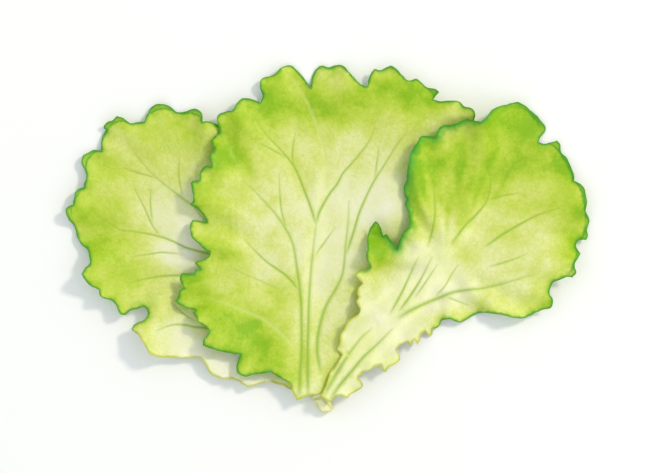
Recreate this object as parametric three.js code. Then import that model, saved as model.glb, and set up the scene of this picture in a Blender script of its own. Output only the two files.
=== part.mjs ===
// An open lettuce: three broad leaves with lobed, ruffled margins, fanned over one another with the inner
// face up, their stalks meeting on a scrap of the cut heel. It lies on the plane z = 0.
// Millimetres, +Z up, +X to the right of the fan, +Y from the heel to the leaf tips.
import * as THREE from "three";
import { ConvexHull } from "three/addons/math/ConvexHull.js";

const { lerp, smoothstep } = THREE.MathUtils;

// Driving dimensions
const MIDDLE_LEAF_LENGTH = 200;
const BLADE_THICKNESS = 1.0;
const STALK_THICKNESS = 4.2;
const STALK_HALF_WIDTH = 5.0;
const RIB_TIP_HALF_WIDTH = 1.5;
const CUP_RISE = 11;
const CUP_REACH = 80;
const PRESSED_CUP = 0.25;
const RUFFLE_HEIGHT = 5;
const RUFFLE_REACH = 32;
const PRESSED_RUFFLE = 0.15;
const HEEL_HEIGHT = 6;
const HEEL_ROUNDING = 1.2;
const LEAF_GAP = 1.2;
const MARGIN_HOVER = 6;
const DRAPE_REACH = 18;
const SETTLE = 0.35;
const HEEL_GAP = 0.4;
const STALK_SEAT = HEEL_HEIGHT + HEEL_GAP + SETTLE;

// Shares of a rib's length: the stalk comes down from the heel between the first two, and the margin beside it
// starts to ruffle and is fully ruffled at the others.
const STALK_LEAVES_HEEL = 0.06;
const STALK_ON_TABLE = 0.4;
const RUFFLE_STARTS = 0.04;
const RUFFLE_FULL = 0.3;

// The rib's section, in half widths: flat to the first, and level with the blade from the second
const RIB_FLAT = 0.5;
const RIB_FOOT = 1.6;
const RIB_ROW = 0.8;

// Widths over which a height changes: at the margin of a leaf that covers it, and where two heights meet
const COVER_BLEND = 8;
const HEIGHT_BLEND = 1.2;

// How finely a leaf is divided
const GRID_STEP = 7.6;
const RIB_STEP = 8;
const CLOSEST_TO_MARGIN = 3.4;
const CLOSEST_TO_RIB = 4.2;
const MOST_PASSES = 12;

// Outlines are points of the picture, x to the right and y down, clockwise from the left of the cut stalk.
const PICTURE_MIDDLE = [328, 238.5];
const PICTURE_LEAF_LENGTH = 333;
const SCALE = MIDDLE_LEAF_LENGTH / PICTURE_LEAF_LENGTH;

const LEFT_MARGIN = [
  [301, 395], [295, 392], [289.3, 389.3], [283, 385.7], [278, 384.6], [271.4, 382.4], [265, 382.6],
  [256.4, 385], [249.3, 386.7], [245.7, 386], [238.6, 381.4], [230.7, 379], [219.3, 378], [212, 375],
  [208, 370.7], [205.7, 364.3], [200.7, 358.6], [190, 358.4], [179, 358], [165, 357], [156.4, 355.7],
  [150.7, 353], [147, 347], [143, 340], [139.3, 335], [132, 329.3], [134.3, 324.3], [139.3, 321.7],
  [145, 319.3], [148, 314.3], [147, 309.6], [143, 307], [138, 309], [131.4, 310.3], [125.7, 314.6],
  [121.4, 314.6], [119, 311.4], [116.4, 305], [111.4, 300.3], [104.3, 298], [100.4, 295], [100, 289.7],
  [90.7, 285.7], [86.4, 280], [82.6, 274], [85.7, 268], [90.7, 263], [90, 256.4], [87, 249.3],
  [82.8, 246], [77.8, 239.4], [75.6, 232], [74, 226], [70, 221.7], [66.7, 214.4], [66, 209.4],
  [69.4, 206], [73.3, 204.4], [74.4, 197], [75.6, 191], [84, 186.7], [83.7, 184], [86, 180], [86.4, 175],
  [85, 170.6], [82.2, 165], [81.4, 160.6], [83.3, 155], [88.3, 152.2], [93.3, 149.7], [100.8, 150.6],
  [100.8, 144], [101.4, 138.3], [102.8, 134], [105.2, 129.4], [103.3, 128.3], [104, 125], [107.8, 121.7],
  [112, 120.6], [117, 116], [123.3, 118], [130.6, 123.3], [136, 122], [144, 121.4], [145.6, 117.2],
  [147.2, 113.3], [149.4, 109], [152.8, 105.8], [157, 104], [161, 103.7], [165.6, 104.4], [170, 106.4],
  [176, 111.4], [180.6, 112.2], [185.6, 111.3], [189.4, 109.4], [193.3, 108.6], [197, 109.2],
  [202, 113.3], [203, 121.7], [209.4, 121.7], [217, 124.5], [223, 129], [230, 126], [237, 132],
  [241, 141], [248, 145], [250, 155], [258, 162], [258, 173], [266, 182], [265, 194], [272, 205],
  [270, 218], [277, 230], [275, 243], [281, 256], [279, 270], [285, 284], [282, 300], [289, 315],
  [287, 332], [294, 348], [297, 362], [304, 376], [310, 388], [310.6, 391.6], [306, 393.6],
];
const CENTRE_MARGIN = [
  [297, 400], [293, 392.5], [290.5, 384.5], [286, 380.5], [279, 377.5], [272, 372.3], [265, 373],
  [257.5, 373.8], [251, 374.8], [244.4, 376], [238, 372.5], [236.6, 367.5], [238, 360.6], [240.6, 354],
  [231, 353], [220, 350.3], [209, 347], [203.5, 345], [203.8, 339.4], [208, 334.4], [209.4, 330],
  [205.6, 325.6], [199.4, 322], [197, 317], [193, 312.5], [195.6, 310], [188.8, 308.5], [180, 304.6],
  [174.8, 300.3], [178.8, 296], [179.4, 290], [184.8, 288], [182, 283], [180.4, 278], [182, 273.2],
  [188.8, 273.4], [194.4, 274], [195.6, 270], [200, 269], [195, 263], [197, 261.3], [203, 259.4],
  [209.4, 255], [209.8, 252], [206, 250.5], [200, 244], [192.5, 237.5], [190.5, 230], [190.5, 224],
  [192.5, 220], [200, 221], [207, 222], [200, 211.3], [195, 207.5], [190.6, 204.8], [194, 199],
  [192.5, 190], [191.5, 183], [194, 181], [200, 180], [200.4, 174], [202.5, 169], [206.3, 165.8],
  [211.9, 167], [210.6, 160], [209.4, 155], [215.3, 149.4], [213, 145], [211.3, 140.6], [215.6, 135.6],
  [219, 132], [218, 125], [217, 117.5], [220, 113.8], [226.3, 111.5], [233, 110.3], [236.3, 104.4],
  [241.3, 98.8], [246.3, 98], [252.5, 99.4], [260.5, 102.3], [262.5, 95], [260, 88.8], [259.8, 83.8],
  [262.5, 78], [268.8, 76.3], [275, 73.8], [278.8, 69.4], [284, 66], [290, 65], [295, 68], [301.3, 74.4],
  [307.5, 82.5], [311, 87.5], [311.5, 78.8], [313.8, 72], [318.8, 66.3], [322.5, 65.3], [329, 66.8],
  [335, 64.8], [342, 65.3], [347, 69.4], [352.5, 75.6], [358.8, 82.5], [363.8, 85.6], [367.5, 86.3],
  [368.5, 79.4], [371.3, 72.5], [374.4, 69], [380, 70], [386.3, 67.5], [390.6, 65.3], [396.3, 68.8],
  [402.5, 75.6], [408.8, 80.6], [416.3, 79], [421.3, 82.5], [427.5, 87.3], [436, 89.4], [439, 92.3],
  [433, 99.4], [440, 101.3], [446, 101.2], [452.5, 101], [459.4, 102.5], [463.8, 107], [470.6, 109],
  [474.4, 113.8], [473.8, 120], [474, 128], [470, 140], [474, 152], [466, 165], [468, 178], [460, 192],
  [462, 205], [452, 218], [453, 232], [443, 245], [442, 258], [432, 268], [430, 280], [420, 288],
  [415, 300], [404, 306], [398, 316], [388, 322], [383, 332], [372, 340], [366, 352], [354, 360],
  [346, 372], [334, 382], [327, 389], [319, 394], [309, 395], [302.5, 398],
];
const RIGHT_MARGIN = [
  [320, 395], [323.8, 388.8], [327.5, 380], [329.4, 373], [333.8, 367], [338.8, 360], [342, 354.4],
  [336.3, 349.4], [340, 341.3], [340.6, 334], [343.8, 328.8], [347, 321.3], [351.3, 318], [358, 313.8],
  [359.4, 308], [355.6, 301.3], [358.8, 297], [357.3, 293.8], [358, 288], [362.5, 283.5], [356.3, 276.3],
  [355.6, 273], [360, 270], [365.6, 270], [370, 267], [367, 260.6], [366, 254], [367.5, 249.4],
  [367, 241.3], [368, 234], [372, 225], [375.6, 221], [378, 223], [381.3, 229], [383, 236],
  [386.3, 233.8], [392.5, 242], [397, 250], [399.4, 240], [402.5, 233], [408, 227.5], [409, 221],
  [408, 212.5], [405, 205], [406.3, 199], [404.4, 195], [403.8, 187.5], [406.3, 180], [407.3, 167.5],
  [409, 158.8], [412, 150], [416.3, 143.8], [420.6, 137], [427.5, 136], [434.4, 137], [437, 131.3],
  [441.3, 126.3], [450, 125.3], [458.8, 122.5], [466.3, 119.5], [475, 121.5], [480, 122.8], [485, 118],
  [491.3, 110.6], [498.8, 106.5], [507.5, 104.4], [517, 102], [523, 104.4], [530, 109.4], [536.3, 114.4],
  [541.3, 120.6], [545.6, 125.6], [546, 130.6], [540, 138], [538.8, 142], [545, 143.5], [550.6, 142.3],
  [557.5, 140], [560.6, 145], [561.6, 152], [567, 157.5], [570, 163.8], [573, 171.3], [574.8, 176.3],
  [574, 180.6], [580, 183.8], [584.4, 188.8], [586, 195], [587, 202.5], [585.6, 211.3], [590, 220],
  [588.8, 225], [587.3, 230], [588, 236.3], [586.3, 240], [580.6, 240], [576.3, 243.8], [577, 249],
  [580, 253.5], [577.5, 258], [574.4, 262.5], [574, 267.5], [575.3, 272.5], [572, 277.5], [566.3, 276.5],
  [560.6, 279.4], [553, 282.5], [550, 289.4], [549.4, 293.8], [552.3, 298.8], [552, 305], [550, 308],
  [542.5, 310], [535, 313], [527.5, 317], [521, 318.4], [512.5, 317.5], [503.8, 315.3], [495, 313.8],
  [486.3, 312.8], [478.8, 313.5], [471.3, 317], [463.8, 321.3], [458.8, 322.3], [454, 321], [450, 319.4],
  [442.5, 320.3], [438.8, 327], [433, 329.4], [432.5, 334], [429.3, 337.4], [427, 333.8], [425, 331.3],
  [421.3, 335], [420, 340.6], [417.5, 344.8], [414.4, 340], [410.6, 346], [407.5, 342], [400, 344.8],
  [396.3, 349.4], [400, 356.3], [399.4, 360.6], [393, 365], [388.8, 367], [385.6, 372], [382.5, 370.6],
  [380.6, 364.4], [375, 366.3], [370, 369.4], [361.3, 373.5], [358, 377.5], [362.5, 382.5], [361.3, 388],
  [351.3, 393.8], [347, 397.8], [343.8, 396.5], [337.5, 395.4], [333, 398], [332, 401.5], [326, 399],
];
const HEEL_OUTLINE = [
  [312, 400], [316.3, 403.8], [318.1, 408.8], [320.6, 411.6], [326.9, 412.8], [331.9, 410.6],
  [332.8, 406.3], [331.9, 401.3], [331, 393], [327, 388], [319, 386], [313, 390],
];

// Each leaf lies on the one before it. A wave has its count round the leaf, its start in radians and its share.
const LEAVES = [
  {
    name: "leaf_left",
    colour: 0xb9d04c,
    margin: LEFT_MARGIN,
    rib: [[306, 391], [268, 325], [232, 258], [195, 208], [160, 181], [140, 160]],
    stalkRise: 0,
    waves: [[9, 0.6, 0.62], [16, 2.1, 0.38]],
  },
  {
    name: "leaf_centre",
    colour: 0xb5cd45,
    margin: CENTRE_MARGIN,
    rib: [
      [309, 395], [307.5, 360], [308, 330], [309, 300], [311, 270],
      [316, 225], [327, 190], [324, 150], [315, 115],
    ],
    stalkRise: STALK_SEAT,
    waves: [[10, 1.4, 0.62], [19, 0.3, 0.38]],
  },
  {
    name: "leaf_right",
    colour: 0xb0cb3c,
    margin: RIGHT_MARGIN,
    rib: [
      [328, 398], [350, 372], [378, 343], [398, 318], [432, 275],
      [451, 244], [477, 214], [505, 180], [530, 150],
    ],
    stalkRise: STALK_SEAT,
    waves: [[10, 2.6, 0.62], [17, 1.0, 0.38]],
  },
];
const HUB_SHARE = 0.55;
const HEEL_COLOUR = 0xf1edbf;

function inFan([x, y]) {
  return new THREE.Vector2((x - PICTURE_MIDDLE[0]) * SCALE, (PICTURE_MIDDLE[1] - y) * SCALE);
}

// Nearest place on a line of points: how far off it is, and its share of the line's length from the start.
function nearestOn(line, point) {
  let best = { distance: Infinity, travelled: 0 };
  let travelled = 0;
  for (let i = 0; i + 1 < line.length; i++) {
    const step = line[i + 1].clone().sub(line[i]);
    const length = step.length();
    const reach = THREE.MathUtils.clamp(point.clone().sub(line[i]).dot(step) / (length * length), 0, 1);
    const distance = line[i].clone().addScaledVector(step, reach).distanceTo(point);
    if (distance < best.distance) best = { distance, travelled: travelled + reach * length };
    travelled += length;
  }
  return { distance: best.distance, share: best.travelled / travelled };
}

// Distance from the margin, positive inside the leaf.
function depthInside(outline, point) {
  let inside = false;
  outline.forEach((a, i) => {
    const b = outline[(i + 1) % outline.length];
    const crosses = a.y > point.y !== b.y > point.y;
    if (crosses && point.x < a.x + ((point.y - a.y) / (b.y - a.y)) * (b.x - a.x)) inside = !inside;
  });
  const { distance } = nearestOn([...outline, outline[0]], point);
  return inside ? distance : -distance;
}

// The larger of two heights, with the corner between them rounded.
function softMax(a, b) {
  return b + HEIGHT_BLEND * Math.log1p(Math.exp((a - b) / HEIGHT_BLEND));
}

// Upper face and thickness of a leaf above a point. A leaf is cupped up from its rib, lies over the leaf below
// it, lifts and ruffles towards its margin, and lies flatter where another leaf covers it.
function sheetAt(leaf, point) {
  const { distance: across, share } = nearestOn(leaf.rib, point);
  const depth = Math.max(depthInside(leaf.outline, point), 0);
  const nearMargin = 1 - smoothstep(depth, 0, RUFFLE_REACH);
  const covered = leaf.above ? depthInside(leaf.above.outline, point) : -Infinity;
  const free = 1 - smoothstep(covered, -COVER_BLEND, COVER_BLEND);
  const ribHalfWidth = lerp(STALK_HALF_WIDTH, RIB_TIP_HALF_WIDTH, share);
  const ribThickness = lerp(STALK_THICKNESS, BLADE_THICKNESS, share);
  const besideRib = smoothstep(across, ribHalfWidth * RIB_FLAT, ribHalfWidth * RIB_FOOT);
  const thickness = lerp(ribThickness, BLADE_THICKNESS, besideRib);

  const onHeel = leaf.stalkRise * (1 - smoothstep(share, STALK_LEAVES_HEEL, STALK_ON_TABLE));
  const pressed = (ribThickness - BLADE_THICKNESS) * besideRib * (1 - free);
  const cup = CUP_RISE * (across / CUP_REACH) ** 2 * lerp(PRESSED_CUP, 1, free);
  let height = ribThickness + onHeel - pressed + cup;
  const offStalk = smoothstep(share, RUFFLE_STARTS, RUFFLE_FULL) * nearMargin;
  if (leaf.below) {
    const over = smoothstep(depthInside(leaf.below.outline, point), -DRAPE_REACH, -DRAPE_REACH / 5);
    const bed = sheetAt(leaf.below, point).top + LEAF_GAP + thickness + MARGIN_HOVER * offStalk * free;
    height = lerp(height, softMax(height, bed), over);
  }
  const angle = Math.atan2(point.y - leaf.hub.y, point.x - leaf.hub.x);
  let wave = 0;
  leaf.waves.forEach(([count, start, part]) => {
    wave += part * Math.sin(count * angle + start);
  });
  height += RUFFLE_HEIGHT * wave * offStalk * lerp(PRESSED_RUFFLE, 1, free) - SETTLE;
  return { top: Math.max(height, thickness), thickness };
}

// Triangles over a set of points: the underside of the hull of the points lifted onto a bowl.
function trianglesOver(points) {
  const bowl = points.map(({ x, y }) => new THREE.Vector3(x, y, (x * x + y * y) / MIDDLE_LEAF_LENGTH));
  const number = new Map(bowl.map((point, i) => [point, i]));
  const triangles = [];
  for (const face of new ConvexHull().setFromPoints(bowl).faces) {
    if (face.normal.z > -1e-9) continue;
    triangles.push([2, 1, 0].map((i) => number.get(face.getEdge(i).head().point)));
  }
  return triangles;
}

// Points inside a leaf: three rows along the rib, and an even grid between the rib and the margin.
function innerPoints(leaf) {
  const points = [];
  const curve = new THREE.SplineCurve(leaf.rib);
  const steps = Math.round(curve.getLength() / RIB_STEP);
  for (let i = 0; i <= steps; i++) {
    for (const row of [-1, 0, 1]) {
      const share = (i + (row === 0 ? 0.5 : 0)) / steps;
      if (share > 1) continue;
      const along = curve.getTangentAt(share);
      const halfWidth = lerp(STALK_HALF_WIDTH, RIB_TIP_HALF_WIDTH, share) * RIB_ROW;
      const right = new THREE.Vector2(along.y, -along.x);
      const point = curve.getPointAt(share).addScaledVector(right, row * halfWidth);
      if (depthInside(leaf.outline, point) > CLOSEST_TO_MARGIN) points.push(point);
    }
  }
  const ribCount = points.length;
  const box = new THREE.Box2().setFromPoints(leaf.outline);
  const rowStep = GRID_STEP * Math.sin(Math.PI / 3);
  for (let row = 0; box.min.y + row * rowStep < box.max.y; row++) {
    for (let x = box.min.x + (row % 2) * GRID_STEP * 0.5; x < box.max.x; x += GRID_STEP) {
      const point = new THREE.Vector2(x, box.min.y + row * rowStep);
      const clear = points.slice(0, ribCount).every((other) => other.distanceTo(point) > CLOSEST_TO_RIB);
      if (clear && depthInside(leaf.outline, point) > CLOSEST_TO_MARGIN) points.push(point);
    }
  }
  return points;
}

// The plan of a leaf in triangles. Steps of the margin that no triangle uses are halved until each is an edge.
function planOf(leaf) {
  const inner = innerPoints(leaf);
  let margin = leaf.outline;
  for (let pass = 0; pass < MOST_PASSES; pass++) {
    const points = [...margin, ...inner];
    const triangles = trianglesOver(points);
    const edges = new Set(triangles.flatMap(([a, b, c]) => [`${a} ${b}`, `${b} ${c}`, `${c} ${a}`]));
    const count = margin.length;
    const unused = margin.map((_, i) => {
      const next = (i + 1) % count;
      return !edges.has(`${i} ${next}`) && !edges.has(`${next} ${i}`);
    });
    if (!unused.includes(true)) {
      const kept = triangles.filter((corners) => {
        const middle = new THREE.Vector2();
        corners.forEach((i) => middle.addScaledVector(points[i], 1 / 3));
        return depthInside(leaf.outline, middle) > 0;
      });
      return { points, marginCount: count, triangles: kept };
    }
    margin = margin.flatMap((point, i) => {
      return unused[i] ? [point, point.clone().lerp(margin[(i + 1) % count], 0.5)] : [point];
    });
  }
  throw new Error(`the margin of ${leaf.name} can't be divided`);
}

// One leaf as a closed sheet, split into triangles alike on both faces, with an upright rim.
function leafGeometry(leaf) {
  const { points, marginCount, triangles } = planOf(leaf);
  const sheets = points.map((point) => sheetAt(leaf, point));
  const upper = points.flatMap(({ x, y }, i) => [x, y, sheets[i].top]);
  const lower = points.flatMap(({ x, y }, i) => [x, y, sheets[i].top - sheets[i].thickness]);
  const below = points.length;
  const faces = triangles.flatMap(([a, b, c]) => [a, b, c, a + below, c + below, b + below]);
  for (let i = 0; i < marginCount; i++) {
    const next = (i + 1) % marginCount;
    faces.push(i + below, i, next, i + below, next, next + below);
  }
  return new THREE.BufferGeometry()
    .setAttribute("position", new THREE.Float32BufferAttribute([...upper, ...lower], 3))
    .setIndex(faces);
}

// The heel: a low stub with rounded edges, flat below, that the stalks lie on and against.
function heelGeometry() {
  const corners = HEEL_OUTLINE.map(inFan);
  const curve = new THREE.CatmullRomCurve3(corners.map(({ x, y }) => new THREE.Vector3(x, y, 0)), true);
  const outline = curve.getPoints(corners.length * 2).slice(0, -1).map(({ x, y }) => new THREE.Vector2(x, y));
  const geometry = new THREE.ExtrudeGeometry(new THREE.Shape(outline), {
    depth: HEEL_HEIGHT - 2 * HEEL_ROUNDING,
    bevelThickness: HEEL_ROUNDING,
    bevelSize: HEEL_ROUNDING,
    bevelOffset: -HEEL_ROUNDING,
    bevelSegments: 2,
    steps: 1,
  });
  return geometry.translate(0, 0, HEEL_ROUNDING);
}

function piece(name, geometry, color) {
  const material = new THREE.MeshStandardMaterial({ color, roughness: 0.55, metalness: 0 });
  const mesh = new THREE.Mesh(geometry, material);
  mesh.name = name;
  return mesh;
}

LEAVES.forEach((leaf, i) => {
  leaf.outline = leaf.margin.map(inFan);
  leaf.rib = leaf.rib.map(inFan);
  leaf.hub = new THREE.SplineCurve(leaf.rib).getPoint(HUB_SHARE);
  leaf.below = LEAVES[i - 1];
  leaf.above = LEAVES[i + 1];
});
const fan = new THREE.Group();
LEAVES.forEach((leaf) => fan.add(piece(leaf.name, leafGeometry(leaf), leaf.colour)));
fan.add(piece("heel", heelGeometry(), HEEL_COLOUR));

// The origin is the middle of the fan's box, on the table.
const box = new THREE.Box3().setFromObject(fan);
const middle = box.getCenter(new THREE.Vector3());
fan.position.set(-middle.x, -middle.y, -box.min.z);

const part = new THREE.Group();
part.add(fan);
export default part;
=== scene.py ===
import math

import bpy
import numpy as np
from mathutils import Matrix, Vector, noise
from mathutils.geometry import delaunay_2d_cdt


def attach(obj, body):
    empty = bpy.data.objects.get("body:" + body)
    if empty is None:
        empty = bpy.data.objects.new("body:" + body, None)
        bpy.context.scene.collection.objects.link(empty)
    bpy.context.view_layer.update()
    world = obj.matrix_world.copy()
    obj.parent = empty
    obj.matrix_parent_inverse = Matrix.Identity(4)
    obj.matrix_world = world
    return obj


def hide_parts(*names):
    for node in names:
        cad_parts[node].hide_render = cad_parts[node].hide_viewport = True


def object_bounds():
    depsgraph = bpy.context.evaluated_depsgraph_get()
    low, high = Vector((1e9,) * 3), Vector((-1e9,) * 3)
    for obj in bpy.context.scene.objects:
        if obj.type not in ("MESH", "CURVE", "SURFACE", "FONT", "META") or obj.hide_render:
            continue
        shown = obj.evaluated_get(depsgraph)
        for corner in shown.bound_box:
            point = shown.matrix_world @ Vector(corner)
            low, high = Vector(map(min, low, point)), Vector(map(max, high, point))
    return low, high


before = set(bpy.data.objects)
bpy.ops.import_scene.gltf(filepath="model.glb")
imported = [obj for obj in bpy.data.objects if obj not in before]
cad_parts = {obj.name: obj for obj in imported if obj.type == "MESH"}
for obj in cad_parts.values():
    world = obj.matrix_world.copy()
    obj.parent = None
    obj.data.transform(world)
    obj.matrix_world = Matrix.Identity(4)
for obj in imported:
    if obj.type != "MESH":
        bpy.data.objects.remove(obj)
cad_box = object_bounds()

# An open lettuce seen from above. Each CAD leaf gives its margin and its lie; the pieces made here follow
# both and add veins, puckers, frill and colour. Lengths are in millimetres until a mesh or a light is made.
MM = 0.001

# Picture points are in its 666 by 473 frame, x to the right and y down. The object spans this box of it.
PICTURE_SIZE = (666, 473)
PICTURE_LEFT, PICTURE_RIGHT = 66.0, 590.0
PICTURE_TOP, PICTURE_BOTTOM = 64.8, 412.8

# How a CAD leaf is read: a face counts as upper or lower where its normal rises or falls this far, and
# corners that agree to so many decimals are one or lie over each other. The plate laid through them gives
# a little.
FACE_UP = 0.15
CORNER_DECIMALS = 3
BENEATH_DECIMALS = 2
PLATE_SPREAD = 100.0
PLATE_GIVE = 4e-4

# How finely a leaf is divided: steps along its margin and veins, rows of points beside both, and the grid
# between them with the room it leaves. A margin that turns by more than the corner turn stays sharp there.
# The triangles kept are the inside ones, and points closer than the last value are one.
MARGIN_STEP = 0.8
CORNER_TURN = math.radians(58)
RIM_ROWS = (0.5, 1.0, 1.7, 2.4, 3.1, 3.8)
RIM_ROW_KEPT = 0.93
VEIN_STEP = 1.0
VEIN_ROWS = (0.0, 0.45, -0.45, 1.0, -1.0)
VEIN_CLEAR = 1.6
GRID_STEP = 1.3
GRID_CLEAR = 4.5
GRID_JITTER = 0.18
ONLY_INSIDE = 1
SAME_POINT = 1e-6

# Points are worked on in chunks to save memory, and no length is divided by less than the tiny one.
CHUNK = 2000
TINY = 1e-12

# Relief of a leaf. The blade is thinner than its CAD solid, veins are sunk above and raised below, tissue
# swells between them, and the margin waves. Where another leaf covers it, the relief is calmer.
BLADE_THINNING = 0.9
THINNEST = 0.5
VEIN_GROOVE = 0.26
VEIN_RIDGE = 0.35
VEIN_TIP_LOSS = 0.6
VEIN_ROOT_LOSS = 0.75
VEIN_ROOT_FADE = 4.0
PUCKER_HEIGHT = 0.75
PUCKER_REACH = 6.0
LUMP_HEIGHT = 0.8
LUMP_SIZE = 13.0
FRILL_HEIGHT = 1.9
FRILL_LENGTH = 15.0
FRILL_REACH = 8.0
FRILL_BLEND = 2.0
FRILL_STRAY = 2.0
FRILL_STRAY_SIZE = 40.0
WOBBLE_WIDTH = 0.3
WOBBLE_LENGTH = 3.0
COVERED_RELIEF = 0.3
COVER_BLEND = 5.0

# Each kind of noise on a leaf is read this far above the level that the leaf's seed gives, and the streaks'
# noise at this level itself.
FRILL_NOISE = 0.3
LUMP_NOISE = 0.5
RIM_NOISE = 0.7
FEATHER_NOISE = (3.1, 7.7)
STREAK_NOISE = 2.5

# Veins in picture points, each from its root outwards. A kind of vein has its half width in mm at root and
# tip, how strongly it shows, and whether it is darker than the pale tissue round it or paler than the green.
MAIN = (1.3, 0.65, 0.95, "vein")
SIDE = (0.9, 0.5, 1.0, "vein")
TWIG = (0.65, 0.4, 0.9, "vein")
PALE = (1.3, 0.8, 0.7, "pale_vein")
FAINT = (0.7, 0.5, 0.5, "vein")

LEFT_VEINS = [
    (MAIN, [(303, 391), (268, 325), (232, 258), (195, 208), (184, 199.5), (172, 190.5), (160, 181),
            (150, 172), (142, 163), (135.5, 155)]),
    (TWIG, [(155, 178), (146, 175), (135, 172), (124, 168)]),
    (TWIG, [(182, 196), (180, 186), (178.5, 175), (179, 157)]),
    (SIDE, [(232, 258), (210, 254), (187, 248), (174, 242), (164, 238), (155, 235.5), (143, 233), (130, 231),
            (120, 230), (107, 222)]),
    (TWIG, [(159, 235), (153, 227), (149, 219), (145, 210), (141, 202), (134, 189)]),
    (TWIG, [(152, 222), (151, 214), (150, 205), (150, 189)]),
    (TWIG, [(180, 254), (170, 253), (160, 252.5), (150, 254), (131, 257)]),
    (SIDE, [(205, 274), (178, 275.5), (165, 276), (150, 278), (128, 283)]),
    (SIDE, [(225, 330), (195, 327), (185, 325), (172, 325), (158, 330)]),
    (TWIG, [(195, 321), (185, 315), (172, 303)]),
]
CENTRE_VEINS = [
    (MAIN, [(308, 396), (307.5, 360), (308, 330), (309, 300), (311, 270), (313, 250), (316, 225)]),
    (SIDE, [(316, 225), (313, 215), (309, 203), (304, 190), (299, 177), (293, 165), (286, 156), (278, 147),
            (270, 139), (262, 129), (252, 114)]),
    (TWIG, [(288, 158), (278, 153), (260, 143)]),
    (TWIG, [(294, 165), (292, 155), (295, 133)]),
    (SIDE, [(316, 225), (319, 213), (324, 203), (330, 193), (337, 184), (343, 173), (352, 163), (361, 152),
            (368, 143), (374, 129)]),
    (PALE, [(327, 190), (326, 168), (324, 150), (315, 121), (306, 100), (292, 77)]),
    (MAIN, [(299, 394), (300, 375), (301.5, 350), (301, 305), (300, 295), (299, 283), (297, 270), (293, 245),
            (285, 228), (272, 210), (257, 194), (243, 181)]),
    (TWIG, [(286, 229), (281, 208), (279, 175)]),
    (SIDE, [(300, 293), (297, 288), (285, 275), (268, 263), (255, 251), (246, 241)]),
    (FAINT, [(278, 289), (258, 280), (238, 271), (231, 266)]),
    (PALE, [(295, 348), (280, 332), (263, 319), (245, 311), (225, 303), (208, 298)]),
    (MAIN, [(320.6, 372), (317, 349), (319.4, 327), (326, 306), (337.5, 286), (343, 272), (345.5, 247),
            (348, 222), (349, 202)]),
    (TWIG, [(316, 254), (324, 243), (334, 229)]),
    (SIDE, [(346, 255), (354.5, 229), (359, 213.5), (367, 195), (375, 179.5), (385, 164), (396, 146),
            (405.5, 134)]),
    (TWIG, [(375, 179.5), (377, 161), (379, 146)]),
]
RIGHT_VEINS = [
    (MAIN, [(325, 393), (336, 374), (348, 355), (361, 338), (372, 328)]),
    (MAIN, [(329.5, 400), (338, 387), (350.5, 372), (363, 357), (378, 343), (391.5, 329)]),
    (MAIN, [(398, 318), (409, 311), (426, 303), (439, 298), (451.5, 293), (468, 290), (485, 288), (502, 284),
            (529, 276)]),
    (TWIG, [(447, 297), (467, 305)]),
    (TWIG, [(435, 297), (445, 286), (451.5, 275), (458, 265)]),
    (SIDE, [(390.5, 313), (401, 294), (409, 277), (418, 257)]),
    (SIDE, [(399, 311), (411.5, 294), (422, 277), (431.5, 258)]),
    (TWIG, [(415, 297), (426, 281.5), (437, 265)]),
    (SIDE, [(428, 246), (433, 227), (435, 210), (433, 185)]),
    (SIDE, [(451.5, 244), (464, 227), (477, 214), (487, 201), (490.5, 185), (489, 160)]),
    (TWIG, [(487, 200.5), (502, 196), (519, 193)]),
    (TWIG, [(502, 187), (510.5, 170), (523, 157)]),
    (SIDE, [(485, 247), (502, 235), (519, 225), (536, 216), (559, 208)]),
    (TWIG, [(489, 267), (510.5, 260.5), (527, 254)]),
]

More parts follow.
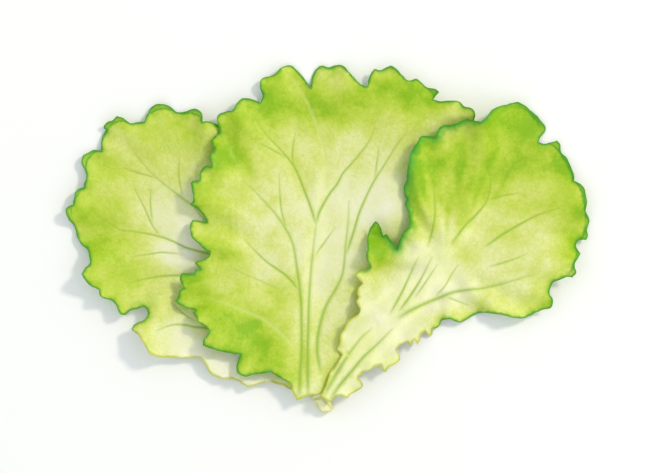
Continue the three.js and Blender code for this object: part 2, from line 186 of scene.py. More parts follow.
# Soft patches of green, given in picture points: x, y, radius, and how much deeper (+) or paler (-)
# they are than the leaf's base.
LEFT_PATCHES = [
    (197, 225, 38, -0.40), (192, 258, 28, -0.22), (180, 342, 30, -0.30), (228, 370, 30, -0.55),
    (150, 205, 24, -0.10), (100, 235, 28, 0.28), (108, 285, 24, 0.14), (105, 170, 18, 0.12),
    (84, 212, 14, 0.16), (205, 125, 14, 0.12), (112, 265, 14, 0.10), (140, 140, 26, 0.06),
    (170, 140, 30, 0.04), (180, 120, 14, 0.14), (178, 142, 14, 0.10), (92, 158, 10, 0.12),
    # The paler patches at (262, 376), (198, 350) and (180, 258) are partly painted light: they lift the
    # shadow that the centre leaf casts on the left leaf, on top of the leaf's own paleness there.
    (110, 196, 24, 0.08), (130, 280, 16, 0.10), (262, 376, 24, -0.50), (198, 350, 16, -0.20),
    (180, 258, 14, -0.10),
]
CENTRE_PATCHES = [
    (380, 205, 36, -0.30), (300, 215, 34, -0.12), (332, 255, 38, -0.18), (255, 215, 24, -0.08),
    (270, 265, 24, -0.12), (310, 330, 26, -0.08), (310, 290, 24, -0.14), (340, 190, 28, -0.12),
    (235, 335, 36, 0.31), (270, 355, 28, 0.28), (214, 310, 22, 0.30), (192, 290, 16, 0.28),
    (190, 274, 14, 0.20), (228, 140, 24, 0.32), (214, 165, 14, 0.25), (236, 160, 16, 0.22),
    (205, 200, 14, 0.12), (232, 255, 10, 0.25), (200, 240, 14, 0.20), (300, 104, 20, 0.30),
    (325, 110, 18, 0.28), (270, 95, 20, 0.18), (355, 112, 20, 0.28), (400, 85, 18, 0.16),
    (385, 82, 10, 0.22), (418, 102, 18, 0.45), (395, 105, 20, 0.12), (250, 115, 14, 0.15),
    (220, 200, 20, 0.20), (228, 235, 14, 0.22), (214, 262, 10, 0.15), (275, 115, 20, 0.20),
    (360, 95, 12, 0.14), (286, 286, 22, 0.14), (318, 80, 10, 0.14), (278, 80, 12, 0.10),
    # The paler patches at (340, 312), (378, 215) and (355, 255) are painted light: they lift the shadow that
    # the right leaf casts on the centre leaf.
    (360, 140, 18, -0.10), (305, 392, 13, -0.20), (314, 380, 10, -0.12), (340, 312, 16, -0.18),
    (378, 215, 14, -0.10), (355, 255, 12, -0.12), (258, 318, 14, 0.16), (238, 300, 14, 0.14),
    (275, 345, 14, 0.10), (312, 255, 12, 0.10), (365, 98, 14, 0.14), (328, 98, 12, 0.12),
    (375, 82, 10, 0.12), (285, 80, 14, 0.10), (262, 115, 16, 0.08), (295, 300, 18, 0.08),
    (250, 322, 14, 0.10), (240, 122, 12, 0.08), (418, 98, 10, 0.10), (335, 262, 18, -0.08),
]
RIGHT_PATCHES = [
    (430, 155, 24, 0.34), (455, 203, 18, 0.14), (476, 172, 16, 0.14), (420, 180, 18, 0.35),
    (414, 210, 14, 0.28), (445, 165, 20, 0.25), (464, 156, 30, 0.18), (510, 115, 24, 0.38),
    (535, 125, 14, 0.30), (490, 125, 18, 0.25), (565, 170, 20, 0.35), (580, 205, 14, 0.35),
    (572, 235, 16, 0.25), (560, 200, 24, 0.12), (540, 160, 28, 0.12), (500, 190, 40, 0.08),
    (480, 195, 20, 0.10), (378, 245, 14, 0.62), (386, 256, 10, 0.30), (450, 296, 20, -0.14),
    # The paler patches at (450, 296), (470, 285) and (440, 305) are painted light: they lift the shade that
    # falls in a hollow of the right leaf's relief.
    (470, 285, 14, -0.10), (515, 285, 18, -0.10), (546, 300, 14, 0.20), (350, 375, 34, -0.14),
    (385, 330, 34, -0.30), (428, 290, 30, -0.20), (420, 262, 20, -0.12), (490, 262, 22, -0.06),
    (495, 165, 42, 0.20), (440, 197, 18, 0.14), (575, 255, 13, 0.14), (340, 394, 14, -0.16),
    (372, 338, 14, 0.12), (530, 150, 24, 0.12), (515, 118, 14, 0.10), (470, 255, 14, 0.08),
    (380, 305, 20, -0.08), (515, 115, 14, 0.12), (540, 156, 20, 0.10), (560, 195, 14, 0.08),
    (560, 256, 12, 0.10), (440, 305, 14, -0.08),
]

# Stretches of margin, in picture points with a radius: drawn olive instead of dark green, turned over in
# a narrow fold, or lined with a broad dark band. The gain makes a stretch full over most of its length.
STRETCH_GAIN = 1.6
LEFT_OLIVE = [(285, 388, 20), (255, 386, 22), (225, 378, 20), (200, 362, 20), (170, 357, 22),
              (148, 345, 16)]
LEFT_FOLDS = [(92, 160, 20), (108, 128, 18), (122, 118, 14), (160, 108, 20), (190, 112, 14),
              (78, 200, 14)]
CENTRE_OLIVE = [(297, 398, 12), (312, 396, 12)]
CENTRE_FOLDS = [(435, 94, 8)]
RIGHT_OLIVE = [(330, 385, 24), (345, 330, 24), (358, 290, 16), (345, 396, 20), (375, 368, 22),
               (400, 350, 20), (420, 338, 14)]
RIGHT_FOLDS = [(532, 114, 14), (562, 152, 18), (574, 176, 14), (585, 205, 16), (584, 238, 10),
               (576, 262, 12)]
RIGHT_BANDS = [(400, 242, 16), (403, 218, 18), (404, 192, 18), (408, 167, 18), (417, 147, 16),
               (433, 134, 16), (453, 126, 16), (473, 120, 14)]

# Pale and deep streaks that spread from a hub of the right leaf: where the hub is and the streaks show, how
# strong they are, how many fill a radian, and about how long one is.
RIGHT_STREAKS = {
    "hub": (447, 282),
    "where": [(455, 180, 46), (420, 190, 24)],
    "amount": 0.30,
    "per_radian": 13.0,
    "length": 28.0,
}

# What each leaf has, the leaf that lies over it, and the seed of its noise
LEAVES = {
    "leaf_left": {"base": 0.50, "veins": LEFT_VEINS, "patches": LEFT_PATCHES, "olive": LEFT_OLIVE,
                  "folds": LEFT_FOLDS, "bands": [], "streaks": None, "above": "leaf_centre", "seed": 11},
    "leaf_centre": {"base": 0.46, "veins": CENTRE_VEINS, "patches": CENTRE_PATCHES, "olive": CENTRE_OLIVE,
                    "folds": CENTRE_FOLDS, "bands": [], "streaks": None, "above": "leaf_right", "seed": 23},
    "leaf_right": {"base": 0.42, "veins": RIGHT_VEINS, "patches": RIGHT_PATCHES, "olive": RIGHT_OLIVE,
                   "folds": RIGHT_FOLDS, "bands": RIGHT_BANDS, "streaks": RIGHT_STREAKS, "above": None,
                   "seed": 37},
}

# Marks along a margin: a greener verge, the dark rim with its uneven width (shares and sizes of its noise),
# a softer line inside it, lobes turned over in a fold, and the broad band. Feathering is a size and a reach.
MARGIN_GREEN = 0.14
MARGIN_GREEN_REACH = 6.0
RIM_WIDTH = 1.2
RIM_UNEVEN = ((0.55, 5.0), (0.45, 2.2))
RIM_LEAST = 0.4
SELVEDGE_WIDTH = 2.2
FEATHER_COARSE = (14.0, 5.0)
FEATHER_FINE = (5.0, 2.2)
FOLD_INSET = 1.0
FOLD_STRAIGHTENING = 6.5
BELL_REACH = 3
FOLD_WIDTH = 0.55
FOLD_EDGE = 0.2
FOLD_RISE = 0.7
BAND_WIDTH = 3.6

# The heel: a crease in picture points, flutes round its skin, a dished and slightly rough cut face
HEEL_CREASE = [(314, 399), (323, 398), (326, 402), (331, 408)]
HEEL_STEP = 0.4
HEEL_SEED = 5
HEEL_SKIN = 0.8
HEEL_DISH = 0.7
HEEL_DISH_REACH = 3.0
HEEL_GRAIN = 0.12
HEEL_GRAIN_SIZE = 2.0
FLUTE_STEP = 3.8
FLUTE_DEPTH = 0.3
CREASE_WIDTH = 0.7
CREASE_DEPTH = 0.8


def to_linear(code):
    """An sRGB hex colour as linear red, green, blue and alpha."""
    channels = [int(code[i:i + 2], 16) / 255 for i in (1, 3, 5)]
    linear = [c / 12.92 if c <= 0.04045 else ((c + 0.055) / 1.055) ** 2.4 for c in channels]
    return (*linear, 1.0)


def from_picture(points):
    """Picture points as millimetres in the frame, from where the object's box lies in both."""
    low, high = cad_box
    points = np.asarray(points, float).reshape(-1, 2)
    across = (points[:, 0] - PICTURE_LEFT) / (PICTURE_RIGHT - PICTURE_LEFT)
    down = (points[:, 1] - PICTURE_TOP) / (PICTURE_BOTTOM - PICTURE_TOP)
    x = low.x + across * (high.x - low.x)
    y = high.y - down * (high.y - low.y)
    return np.column_stack([x, y]) / MM


# Millimetres that one picture point spans
PICTURE_POINT = (cad_box[1].x - cad_box[0].x) / (PICTURE_RIGHT - PICTURE_LEFT) / MM


def solid_of(name):
    """A CAD node's corners, without repeats, and its triangles."""
    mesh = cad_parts[name].data
    mesh.calc_loop_triangles()
    places = np.array([v.co for v in mesh.vertices], float) / MM
    corners, number = np.unique(np.round(places, CORNER_DECIMALS), axis=0, return_inverse=True)
    number = number.ravel()
    triangles = np.array([[number[i] for i in t.vertices] for t in mesh.loop_triangles])
    return corners, triangles


def upper_sheet(name):
    """The corners of a node's upper face, the thickness below each, and the face's margin, anticlockwise."""
    corners, triangles = solid_of(name)
    a, b, c = (corners[triangles[:, i]] for i in range(3))
    normals = np.cross(b - a, c - a)
    lean = normals[:, 2] / np.maximum(np.linalg.norm(normals, axis=1), TINY)
    upper = triangles[lean > FACE_UP]
    lower = np.unique(triangles[lean < -FACE_UP])
    beneath = {tuple(np.round(corners[i, :2], BENEATH_DECIMALS)): corners[i, 2] for i in lower}
    steps = {(i, j) for t in upper for i, j in ((t[0], t[1]), (t[1], t[2]), (t[2], t[0]))}
    following = {i: j for i, j in steps if (j, i) not in steps}
    loop = [min(following)]
    while following[loop[-1]] != loop[0]:
        loop.append(following[loop[-1]])
    kept = np.unique(upper)
    top = corners[kept]
    thickness = np.array([z - beneath[tuple(np.round((x, y), BENEATH_DECIMALS))] for x, y, z in top])
    return top, thickness, corners[loop, :2]


def plate_through(places, values):
    """A thin plate bent through the values at some places, as a function of other places."""
    known = places / PLATE_SPREAD

    def kernel(p, q):
        square = ((p[:, None] - q[None]) ** 2).sum(-1)
        return 0.5 * square * np.log(square + TINY)

    flat = np.column_stack([np.ones(len(known)), known])
    give = PLATE_GIVE * np.eye(len(known))
    system = np.block([[kernel(known, known) + give, flat], [flat.T, np.zeros((3, 3))]])
    weights = np.linalg.solve(system, np.vstack([values, np.zeros((3, values.shape[1]))]))

    def read(wanted):
        answers = []
        for start in range(0, len(wanted), CHUNK):
            part = wanted[start:start + CHUNK] / PLATE_SPREAD
            level = np.column_stack([np.ones(len(part)), part])
            answers.append(np.hstack([kernel(part, known), level]) @ weights)
        return np.vstack(answers)

    return read


def nearest_on(points, line):
    """For each point, its distance from a line of points and how far along the line the nearest place is."""
    start, step = line[:-1], np.diff(line, axis=0)
    length = np.linalg.norm(step, axis=1)
    travelled = np.concatenate([[0], np.cumsum(length)[:-1]])
    distances, places = [], []
    for first in range(0, len(points), CHUNK):
        part = points[first:first + CHUNK]
        offset = part[:, None] - start[None]
        reach = np.clip((offset * step).sum(-1) / np.maximum(length**2, TINY), 0, 1)
        gap = np.linalg.norm(offset - reach[..., None] * step[None], axis=-1)
        best = gap.argmin(1)
        rows = np.arange(len(part))
        distances.append(gap[rows, best])
        places.append(travelled[best] + reach[rows, best] * length[best])
    return np.concatenate(distances), np.concatenate(places)


def depth_inside(points, loop):
    """Distance of each point from a closed margin, positive inside it."""
    closed = np.vstack([loop, loop[:1]])
    distance, _ = nearest_on(points, closed)
    inside = np.zeros(len(points), bool)
    for (ax, ay), (bx, by) in zip(closed[:-1], closed[1:]):
        crosses = (ay > points[:, 1]) != (by > points[:, 1])
        if crosses.any():
            level = np.where(crosses, points[:, 1], ay)
            inside ^= crosses & (points[:, 0] < ax + (level - ay) / (by - ay + (by == ay)) * (bx - ax))
    return np.where(inside, distance, -distance)


def smooth_line(points, step, closed=False, corner=math.pi):
    """A smooth line through points at about even steps, sharp where it turns by more than the corner."""
    points = np.asarray(points, float)
    count = len(points)
    before, after = np.roll(points, 1, 0), np.roll(points, -1, 0)
    if not closed:
        before[0], after[-1] = points[0], points[-1]
    way = after - before
    way /= np.maximum(np.linalg.norm(way, axis=1, keepdims=True), TINY)
    arriving, leaving = points - before, after - points
    turn = np.abs(np.arctan2(arriving[:, 0] * leaving[:, 1] - arriving[:, 1] * leaving[:, 0],
                             (arriving * leaving).sum(1)))
    made = []
    for i in range(count if closed else count - 1):
        here, there = points[i], points[(i + 1) % count]
        chord = there - here
        length = np.linalg.norm(chord)
        start_way = chord if turn[i] > corner else way[i] * length
        end_way = chord if turn[(i + 1) % count] > corner else way[(i + 1) % count] * length
        parts = max(1, round(length / step))
        for share in np.arange(parts) / parts:
            square, cube = share**2, share**3
            made.append((2 * cube - 3 * square + 1) * here + (cube - 2 * square + share) * start_way
                        + (3 * square - 2 * cube) * there + (cube - square) * end_way)
    if not closed:
        made.append(points[-1])
    return np.array(made)


def grain(points, size, seed):
    """Smooth noise from -1 to 1 over plane points, with lumps of about that size."""
    return np.array([noise.noise(Vector((x / size, y / size, seed))) for x, y in points])


def patches_at(points, patches):
    """Sum of soft round patches, each with a middle and radius in picture points and an amount."""
    total = np.zeros(len(points))
    for x, y, radius, amount in patches:
        away = np.linalg.norm(points - from_picture([(x, y)]), axis=1) / (radius * PICTURE_POINT)
        total += amount * np.exp(-away**2)
    return total


def stretches_at(points, stretches):
    """1 in the named stretches of margin, fading to 0 away from them."""
    return np.clip(STRETCH_GAIN * patches_at(points, [(*s, 1.0) for s in stretches]), 0, 1)


def straightened(margin):
    """The line that runs across the foot of each lobe of a margin, where the lobe turns over."""
    reach = round(BELL_REACH * FOLD_STRAIGHTENING / MARGIN_STEP)
    shifts = range(-reach, reach + 1)
    shares = np.exp(-0.5 * (np.array(shifts) * MARGIN_STEP / FOLD_STRAIGHTENING) ** 2)
    return sum(share * np.roll(margin, shift, 0) for share, shift in zip(shares / shares.sum(), shifts))


def feathered(points, seed):
    """Points shifted to and fro, so that a round patch read at them has a feathered edge."""
    moved = points.copy()
    for size, reach in (FEATHER_COARSE, FEATHER_FINE):
        moved += reach * np.column_stack([grain(points, size, seed + level) for level in FEATHER_NOISE])
    return moved


def streaks_at(points, hub, where, amount, per_radian, length):
    """Paler and deeper rays from a hub, only in the named places."""
    arm = points - from_picture([hub])
    turn = np.arctan2(arm[:, 1], arm[:, 0]) * per_radian
    reach = np.linalg.norm(arm, axis=1) / length
    return amount * stretches_at(points, where) * grain(np.column_stack([turn, reach]), 1, STREAK_NOISE)


def outward_of(margin):
    """The way out of a closed anticlockwise margin at each of its points."""
    along = np.roll(margin, -1, 0) - np.roll(margin, 1, 0)
    outward = np.column_stack([along[:, 1], -along[:, 0]])
    return outward / np.maximum(np.linalg.norm(outward, axis=1, keepdims=True), TINY)


def beside(line, row):
    """Points at a distance to the left of a line of points, or to its right where that is negative."""
    along = np.gradient(line, axis=0)
    left = np.column_stack([-along[:, 1], along[:, 0]])
    return line + row * left / np.maximum(np.linalg.norm(left, axis=1, keepdims=True), TINY)


def waves_from(margin, points, seed):
    """Waves along a margin, carried inwards. The two sides of a lobe blend, so no step lies between them."""
    steps = np.linalg.norm(np.roll(margin, -1, 0) - margin, axis=1)
    place = np.cumsum(steps) - steps
    stray = FRILL_STRAY * grain(margin, FRILL_STRAY_SIZE, seed)
    wave = np.sin(2 * math.pi * place / FRILL_LENGTH + stray)
    carried = []
    for first in range(0, len(points), CHUNK):
        gap = np.linalg.norm(points[first:first + CHUNK, None] - margin[None], axis=-1)
        share = np.exp((gap.min(1, keepdims=True) - gap) / FRILL_BLEND)
        carried.append(share @ wave / share.sum(1))
    return np.concatenate(carried)


def plan_of(margin, lines, seed):
    """Points inside a margin, the triangles between them, and the numbers of the points on the margin. There
    are rows beside the margin for the rim, rows along each vein, and a fine uneven grid."""
    inner = []
    for row in RIM_ROWS:
        ring = margin - outward_of(margin) * row
        inner.append(ring[depth_inside(ring, margin) > RIM_ROW_KEPT * row])
    for i, line in enumerate(lines):
        rows = np.vstack([beside(line, row) for row in VEIN_ROWS])
        kept = depth_inside(rows, margin) > GRID_CLEAR
        for earlier in lines[:i]:
            kept &= nearest_on(rows, earlier)[0] > VEIN_CLEAR
        inner.append(rows[kept])
    low, high = margin.min(0), margin.max(0)
    row_step = GRID_STEP * math.sin(math.pi / 3)
    rows = np.arange(low[1], high[1], row_step)
    columns = np.arange(low[0], high[0], GRID_STEP)
    grid = np.array([(x + (i % 2) * GRID_STEP / 2, y) for i, y in enumerate(rows) for x in columns])
    grid += np.random.default_rng(seed).uniform(-1, 1, grid.shape) * GRID_JITTER * GRID_STEP
    kept = depth_inside(grid, margin) > GRID_CLEAR
    for line in lines:
        kept &= nearest_on(grid, line)[0] > VEIN_CLEAR
    inner.append(grid[kept])
    points = np.vstack([margin, *inner])
    outline = list(range(len(margin)))
    places = [Vector(p) for p in points]
    made, _, triangles, origin, _, _ = delaunay_2d_cdt(places, [], [outline], ONLY_INSIDE, SAME_POINT)
    number = {i: new for new, olds in enumerate(origin) for i in olds}
    return np.array([tuple(p) for p in made]), triangles, [number[i] for i in outline]


def closed_piece(name, points, triangles, rim, top, thickness, marks, material):
    """A closed sheet as a mesh: both faces and the rim, with its marks kept as point attributes."""
    count = len(points)
    low = top - thickness
    corners = np.vstack([np.column_stack([points, top]), np.column_stack([points, low])]) * MM
    faces = [tuple(t) for t in triangles]
    faces += [tuple(i + count for i in reversed(t)) for t in triangles]
    faces += [(i + count, j + count, j, i) for i, j in zip(rim, rim[1:] + rim[:1])]
    mesh = bpy.data.meshes.new(name)
    mesh.from_pydata(corners.tolist(), [], faces)
    mesh.polygons.foreach_set("use_smooth", [True] * len(mesh.polygons))
    marks = {mark: np.tile(values, 2) for mark, values in marks.items()}
    marks["under"] = np.repeat([0.0, 1.0], count)
    for mark, values in marks.items():
        mesh.attributes.new(mark, "FLOAT", "POINT").data.foreach_set("value", values.astype(np.float32))
    mesh.materials.append(material)
    piece = bpy.data.objects.new(f"{name}_grown", mesh)
    bpy.context.scene.collection.objects.link(piece)
    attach(piece, "root")
    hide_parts(name)
    return piece


def vein_marks(points, veins, lines):
    """How strongly each tone of vein shows at each point, and the distance from the nearest vein."""
    strength = {"vein": np.zeros(len(points)), "pale_vein": np.zeros(len(points))}
    nearest = np.full(len(points), np.inf)
    for ((root_width, tip_width, show, tone), _), line in zip(veins, lines):
        full = np.linalg.norm(np.diff(line, axis=0), axis=1).sum()
        distance, place = nearest_on(points, line)
        share = place / full
        width = root_width + (tip_width - root_width) * share
        fade = (1 - VEIN_TIP_LOSS * share**3) * (1 - VEIN_ROOT_LOSS * np.exp(-place / VEIN_ROOT_FADE))
        strength[tone] = np.maximum(strength[tone], show * fade * np.exp(-(distance / width) ** 2))
        nearest = np.minimum(nearest, distance)
    return strength, nearest


def leaf_piece(name, leaf, sheets, material):
    """One leaf: the CAD sheet with a finer margin, veins sunk above and raised below, puckers and frill."""
    top_corners, thickness, loop = sheets[name]
    margin = smooth_line(loop, MARGIN_STEP, closed=True, corner=CORNER_TURN)
    margin += outward_of(margin) * (WOBBLE_WIDTH * grain(margin, WOBBLE_LENGTH, leaf["seed"]))[:, None]
    lines = [smooth_line(from_picture(path), VEIN_STEP) for _, path in leaf["veins"]]
    points, triangles, rim = plan_of(margin, lines, leaf["seed"])
    depth = np.maximum(depth_inside(points, margin), 0)
    shown, vein_gap = vein_marks(points, leaf["veins"], lines)
    vein = np.maximum(shown["vein"], shown["pale_vein"])
    olive = stretches_at(points, leaf["olive"])
    folds = stretches_at(points, leaf["folds"])
    patchy = 1 + sum(most * grain(points, size, leaf["seed"] + RIM_NOISE) for most, size in RIM_UNEVEN)
    patchy = np.maximum(patchy, RIM_LEAST)
    past_fold = depth_inside(points, straightened(margin)) - FOLD_INSET * patchy
    hem = folds / (1 + np.exp(past_fold / FOLD_EDGE))

    free = np.ones(len(points))
    if leaf["above"]:
        covered = depth_inside(points, sheets[leaf["above"]][2])
        free = 1 - np.clip((covered + COVER_BLEND) / (2 * COVER_BLEND), 0, 1)
    calm = COVERED_RELIEF + (1 - COVERED_RELIEF) * free
    pucker = PUCKER_HEIGHT * (1 - np.exp(-(vein_gap / PUCKER_REACH) ** 2))
    lumps = LUMP_HEIGHT * grain(points, LUMP_SIZE, leaf["seed"] + LUMP_NOISE)
    waves = waves_from(margin, points, leaf["seed"] + FRILL_NOISE)
    frill = FRILL_HEIGHT * waves * np.exp(-depth / FRILL_REACH)
    swell = pucker + lumps * (1 - np.exp(-vein_gap / PUCKER_REACH)) + frill
    relief = calm * (swell + FOLD_RISE * hem) - VEIN_GROOVE * vein

    lie = plate_through(top_corners[:, :2], np.column_stack([top_corners[:, 2], thickness]))(points)
    sheet = np.maximum(lie[:, 1] - BLADE_THINNING, THINNEST) + VEIN_RIDGE * vein
    top = np.maximum(lie[:, 0] + relief, sheet)

    green = leaf["base"] + patches_at(feathered(points, leaf["seed"]), leaf["patches"])
    if leaf["streaks"]:
        green += streaks_at(points, **leaf["streaks"])
    green += MARGIN_GREEN * (1 - olive) * np.exp(-(depth / MARGIN_GREEN_REACH) ** 2)
    marks = {
        **shown,
        "green": np.clip(green, 0, 1),
        "rim": np.exp(-(depth / (RIM_WIDTH * patchy)) ** 4),
        "olive": olive,
        "hem": hem,
        "selvedge": np.exp(-(depth / (SELVEDGE_WIDTH * patchy**2)) ** 2) * (1 - olive),
        "fold": folds * np.exp(-(past_fold / FOLD_WIDTH) ** 2),
        "band": stretches_at(points, leaf["bands"]) * np.exp(-(depth / (BAND_WIDTH * patchy)) ** 2),
    }
    return closed_piece(name, points, triangles, rim, top, sheet, marks, material)


def heel_piece(sheets, material):
    """The heel: its CAD form with a fluted skin, a dished cut face and a crease where a stalk tore off."""
    top_corners, thickness, loop = sheets["heel"]
    margin = smooth_line(loop, HEEL_STEP, closed=True, corner=CORNER_TURN)
    flutes = round(len(margin) * HEEL_STEP / FLUTE_STEP)
    turns = 2 * math.pi * flutes * np.arange(len(margin)) / len(margin)
    margin -= outward_of(margin) * (FLUTE_DEPTH * (0.5 + 0.5 * np.cos(turns)))[:, None]
    points, triangles, rim = plan_of(margin, [], HEEL_SEED)
    depth = np.maximum(depth_inside(points, margin), 0)
    lie = plate_through(top_corners[:, :2], np.column_stack([top_corners[:, 2], thickness]))(points)
    crease, _ = nearest_on(points, smooth_line(from_picture(HEEL_CREASE), VEIN_STEP))
    marks = {
        "rim": np.exp(-(depth / HEEL_SKIN) ** 2),
        "vein": np.exp(-(crease / CREASE_WIDTH) ** 2),
    }
    hollow = HEEL_DISH * (1 - np.exp(-(depth / HEEL_DISH_REACH) ** 2))
    hollow += CREASE_DEPTH * marks["vein"] + HEEL_GRAIN * grain(points, HEEL_GRAIN_SIZE, HEEL_SEED)
    top = lie[:, 0] - hollow
    sheet = np.minimum(lie[:, 1] - hollow, top)
    return closed_piece("heel", points, triangles, rim, top, sheet, marks, material)


def node(tree, kind, inputs, **settings):
    """Adds one shader node. Inputs are constants or the sockets that feed it."""
    made = tree.nodes.new(kind)
    for name, value in settings.items():
        setattr(made, name, value)
    for name, value in inputs.items():
        if isinstance(value, bpy.types.NodeSocket):
            tree.links.new(value, made.inputs[name])
        else:
            made.inputs[name].default_value = value
    return made


def new_material(name):
    """An empty material and its tree of nodes."""
    material = bpy.data.materials.new(name)
    material.use_nodes = True
    material.node_tree.nodes.clear()
    return material, material.node_tree


# Washes of the blade from the pale heart to the deepest green
BLADE_WASHES = [(0.0, "#FAF8DC"), (0.12, "#F3F3C4"), (0.3, "#E9EDAA"), (0.48, "#D6E076"), (0.66, "#C1D54A"),
                (0.84, "#AAC926"), (1.0, "#8CBB08")]

# Marks that lie over the washes, in order: the mark, the share of its colour at full strength, the colour.
# The rim comes last, dark green or olive.
BLADE_MARKS = [("under", 0.7, "#CFDD93"), ("vein", 0.95, "#99BA28"), ("pale_vein", 0.8, "#D3DF80"),
               ("selvedge", 0.6, "#7CB418"), ("hem", 0.5, "#7AB226"), ("fold", 0.9, "#479C22"),
               ("band", 0.85, "#3FA22A")]
RIM_SHARE = 0.9
RIM_DARK = "#35921C"
RIM_OLIVE = "#BFC43C"

# Patterns of the blade: sizes in millimetres, and how far each moves the wash. Real cells are far too fine
# to show in the render, so the specks that stand for them are drawn coarse, and so is the finest vein net.
CLOUD_SIZE = 13.0
CLOUD_SHARE = 0.4
BLOOM_SIZE = 12.0
BLOOM_SHARE = 0.08
SPECK_SIZE = 1.6
SPECK_SHARE = 0.20
NET_SIZE = 4.2
NET_LINE = 0.12
NET_SHARE = 0.05
NET_DEPTH = 0.15

# Finish of the tissue. It is mostly water, and light passes a little way through it, blue the least.
TISSUE_IOR = 1.4
WAX_ROUGHNESS = 0.44
WAX_UNEVEN = 0.2
LIGHT_THROUGH = 0.3
LIGHT_REACH = 2.0
LIGHT_REACH_BY_COLOUR = (1.0, 1.0, 0.4)


def leaf_material():
    """Fresh lettuce blade, grown: thin, moist and waxy, so it is satin with soft broken highlights and lets
    some light through. The green lies in clouded washes, with a darker line where the margin is doubled."""
    material, tree = new_material("lettuce_blade_grown_waxy")
    place = node(tree, "ShaderNodeTexCoord", {}).outputs["Object"]
    mark = {name: node(tree, "ShaderNodeAttribute", {}, attribute_name=name).outputs["Fac"]
            for name in ("green", "olive", "rim", *(name for name, _, _ in BLADE_MARKS))}
    cloud = node(tree, "ShaderNodeTexNoise", {"Vector": place, "Scale": 1 / (CLOUD_SIZE * MM), "Detail": 6.0,
                                              "Roughness": 0.58, "Distortion": 0.2})
    bloom = node(tree, "ShaderNodeTexNoise", {"Vector": place, "Scale": 1 / (BLOOM_SIZE * MM), "Detail": 5.0,
                                              "Roughness": 0.55, "Distortion": 0.15})
    pooled = node(tree, "ShaderNodeMapRange", {"Value": bloom.outputs["Fac"], "From Min": 0.42,
                                               "From Max": 0.60, "To Min": -BLOOM_SHARE,
                                               "To Max": BLOOM_SHARE}, interpolation_type="SMOOTHSTEP")
    speck = node(tree, "ShaderNodeTexNoise", {"Vector": place, "Scale": 1 / (SPECK_SIZE * MM),
                                              "Detail": 3.0})
    cells = node(tree, "ShaderNodeTexVoronoi", {"Vector": place, "Scale": 1 / (NET_SIZE * MM)},
                 feature="DISTANCE_TO_EDGE")
    net = node(tree, "ShaderNodeMapRange", {"Value": cells.outputs["Distance"], "From Min": 0.0,
                                            "From Max": NET_LINE, "To Min": 1.0, "To Max": 0.0})

    # The bloom moves the green in proportion to it, the other patterns by their own shares. Cloud and specks
    # lie round one half, so half their shares come off again.
    patterns = [(pooled.outputs["Result"], mark["green"]), (cloud.outputs["Fac"], CLOUD_SHARE),
                (speck.outputs["Fac"], SPECK_SHARE), (net.outputs["Result"], NET_SHARE)]
    level = mark["green"]
    for pattern, share in patterns:
        level = node(tree, "ShaderNodeMath", {0: pattern, 1: share, 2: level},
                     operation="MULTIPLY_ADD").outputs["Value"]
    level = node(tree, "ShaderNodeMath", {0: level, 1: (CLOUD_SHARE + SPECK_SHARE) / 2},
                 operation="SUBTRACT").outputs["Value"]
    washes = node(tree, "ShaderNodeValToRGB", {"Fac": level})
    stops = washes.color_ramp.elements
    while len(stops) < len(BLADE_WASHES):
        stops.new(0.5)
    for stop, (position, code) in zip(stops, BLADE_WASHES):
        stop.position = position
        stop.color = to_linear(code)

    rim_colour = node(tree, "ShaderNodeMix", {"Factor": mark["olive"], "A": to_linear(RIM_DARK),
                                              "B": to_linear(RIM_OLIVE)}, data_type="RGBA")
    layers = [(name, most, to_linear(code)) for name, most, code in BLADE_MARKS]
    layers.append(("rim", RIM_SHARE, rim_colour.outputs["Result"]))
    colour = washes.outputs["Color"]
    for name, most, layer in layers:
        share = node(tree, "ShaderNodeMath", {0: mark[name], 1: most}, operation="MULTIPLY")
        mixed = node(tree, "ShaderNodeMix", {"Factor": share.outputs["Value"], "A": colour, "B": layer},
                     data_type="RGBA")
        colour = mixed.outputs["Result"]

    bump = node(tree, "ShaderNodeBump", {"Height": net.outputs["Result"], "Strength": 0.25,
                                         "Distance": NET_DEPTH * MM}, invert=True)
    shine = node(tree, "ShaderNodeMath", {0: speck.outputs["Fac"], 1: WAX_UNEVEN, 2: WAX_ROUGHNESS},
                 operation="MULTIPLY_ADD")
    skin = node(tree, "ShaderNodeBsdfPrincipled", {"Base Color": colour, "Roughness": shine.outputs["Value"],
                                                   "Normal": bump.outputs["Normal"], "IOR": TISSUE_IOR,
                                                   "Subsurface Weight": LIGHT_THROUGH,
                                                   "Subsurface Scale": LIGHT_REACH * MM,
                                                   "Subsurface Radius": LIGHT_REACH_BY_COLOUR})
    node(tree, "ShaderNodeOutputMaterial", {"Surface": skin.outputs["BSDF"]})
    return material


# The heel's flesh between its two tones, its skin, and its fibres in millimetres
# Both flesh tones are set paler than the flesh's own cream: painted light that offsets the shade the right
# leaf's stalk throws on the heel.
FLESH_PALE = "#FCF8CE"
FLESH_DEEP = "#F3F0B0"
HEEL_SKIN_COLOUR = "#BFC64A"
HEEL_SKIN_SHARE = 0.75
FIBRE_SIZE = 2.5
FIBRE_DEPTH = 0.3
CUT_ROUGHNESS = 0.38


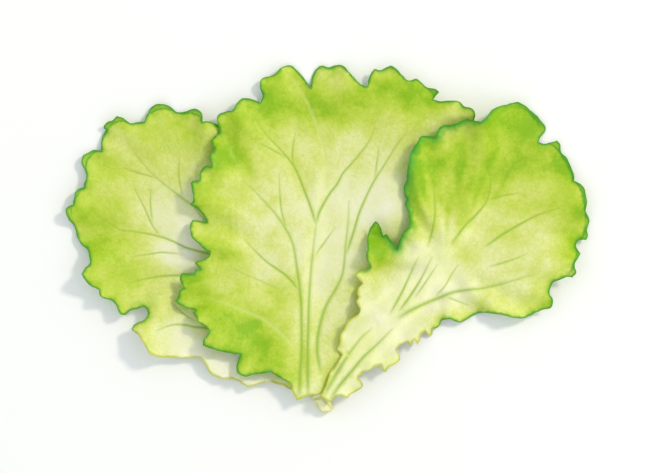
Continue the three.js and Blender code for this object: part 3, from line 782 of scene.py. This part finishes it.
def heel_material():
    """Lettuce stem, knife cut: pale wet flesh, smooth, with faint fibres and an olive line at the skin."""
    material, tree = new_material("lettuce_stem_knife_cut")
    place = node(tree, "ShaderNodeTexCoord", {}).outputs["Object"]
    rim = node(tree, "ShaderNodeAttribute", {}, attribute_name="rim").outputs["Fac"]
    crease = node(tree, "ShaderNodeAttribute", {}, attribute_name="vein").outputs["Fac"]
    fibre = node(tree, "ShaderNodeTexNoise", {"Vector": place, "Scale": 1 / (FIBRE_SIZE * MM),
                                              "Detail": 4.0})
    flesh = node(tree, "ShaderNodeMix", {"Factor": fibre.outputs["Fac"], "A": to_linear(FLESH_PALE),
                                         "B": to_linear(FLESH_DEEP)}, data_type="RGBA")
    lined = node(tree, "ShaderNodeMath", {0: rim, 1: crease}, operation="MAXIMUM")
    share = node(tree, "ShaderNodeMath", {0: lined.outputs["Value"], 1: HEEL_SKIN_SHARE},
                 operation="MULTIPLY")
    colour = node(tree, "ShaderNodeMix", {"Factor": share.outputs["Value"], "A": flesh.outputs["Result"],
                                          "B": to_linear(HEEL_SKIN_COLOUR)}, data_type="RGBA")
    bump = node(tree, "ShaderNodeBump", {"Height": fibre.outputs["Fac"], "Strength": 0.2,
                                         "Distance": FIBRE_DEPTH * MM})
    skin = node(tree, "ShaderNodeBsdfPrincipled", {"Base Color": colour.outputs["Result"],
                                                   "Roughness": CUT_ROUGHNESS,
                                                   "Normal": bump.outputs["Normal"], "IOR": TISSUE_IOR})
    node(tree, "ShaderNodeOutputMaterial", {"Surface": skin.outputs["BSDF"]})
    return material


FLOOR_COLOUR = "#FBFBF9"


def floor_material():
    """Smooth white board, pressed and matt: even, with no sheen."""
    material, tree = new_material("white_board_pressed_matt")
    skin = node(tree, "ShaderNodeBsdfPrincipled", {"Base Color": to_linear(FLOOR_COLOUR), "Roughness": 0.9,
                                                   "Specular IOR Level": 0.1})
    node(tree, "ShaderNodeOutputMaterial", {"Surface": skin.outputs["BSDF"]})
    return material


def build_pieces():
    """The three leaves and the heel, each over the CAD node that it stands for."""
    sheets = {name: upper_sheet(name) for name in (*LEAVES, "heel")}
    blade = leaf_material()
    for name, leaf in LEAVES.items():
        leaf_piece(name, leaf, sheets, blade)
    heel_piece(sheets, heel_material())


# The stage. Its places and sizes are in metres; the floor's drop, the camera's sensor and the level of the
# leaves are in millimetres.
FLOOR_SIZE = 8.0
FLOOR_DROP = 0.2
CAMERA_HEIGHT = 2.0
SENSOR_WIDTH = 36.0
LEAF_LEVEL = 6.0
PICTURE_MIDDLE = (PICTURE_SIZE[0] / 2, PICTURE_SIZE[1] / 2)
KEY_PLACE = (1.7, 1.2, 2.1)
KEY_SIZE = 0.45
KEY_WATTS = 34.0
KEY_COLOUR = "#FFF3DC"
SKY_STRENGTH = 0.86
SKY_COLOUR = "#F4FAFF"


def build_floor():
    """A wide pale floor, a hair below the leaves so that no faces lie in one plane."""
    half = FLOOR_SIZE / 2
    level = -FLOOR_DROP * MM
    corners = [(-half, -half, level), (half, -half, level), (half, half, level), (-half, half, level)]
    mesh = bpy.data.meshes.new("floor")
    mesh.from_pydata(corners, [], [(0, 1, 2, 3)])
    mesh.materials.append(floor_material())
    floor = bpy.data.objects.new("floor", mesh)
    bpy.context.scene.collection.objects.link(floor)


def build_camera():
    """Straight above, far off with a long lens, so the leaves keep the outlines that the picture gives."""
    x, y = from_picture([PICTURE_MIDDLE])[0] * MM
    width = PICTURE_SIZE[0] * PICTURE_POINT * MM
    camera = bpy.data.cameras.new("camera")
    camera.sensor_width = SENSOR_WIDTH
    camera.lens = SENSOR_WIDTH * CAMERA_HEIGHT / width
    holder = bpy.data.objects.new("camera", camera)
    holder.location = (x, y, CAMERA_HEIGHT + LEAF_LEVEL * MM)
    bpy.context.scene.collection.objects.link(holder)
    bpy.context.scene.camera = holder


def build_light():
    """A soft window from the upper right, which throws short shadows to the lower left, and a pale sky."""
    scene = bpy.context.scene
    scene.view_settings.view_transform = "Standard"
    key = bpy.data.lights.new("key", "AREA")
    key.shape = "DISK"
    key.size = KEY_SIZE
    key.energy = KEY_WATTS
    key.color = to_linear(KEY_COLOUR)[:3]
    lamp = bpy.data.objects.new("key", key)
    lamp.location = KEY_PLACE
    lamp.rotation_euler = Vector(KEY_PLACE).to_track_quat("Z", "Y").to_euler()
    scene.collection.objects.link(lamp)
    world = bpy.data.worlds.new("pale_sky")
    world.use_nodes = True
    sky = world.node_tree.nodes["Background"]
    sky.inputs["Color"].default_value = to_linear(SKY_COLOUR)
    sky.inputs["Strength"].default_value = SKY_STRENGTH
    scene.world = world


build_pieces()
build_floor()
build_camera()
build_light()
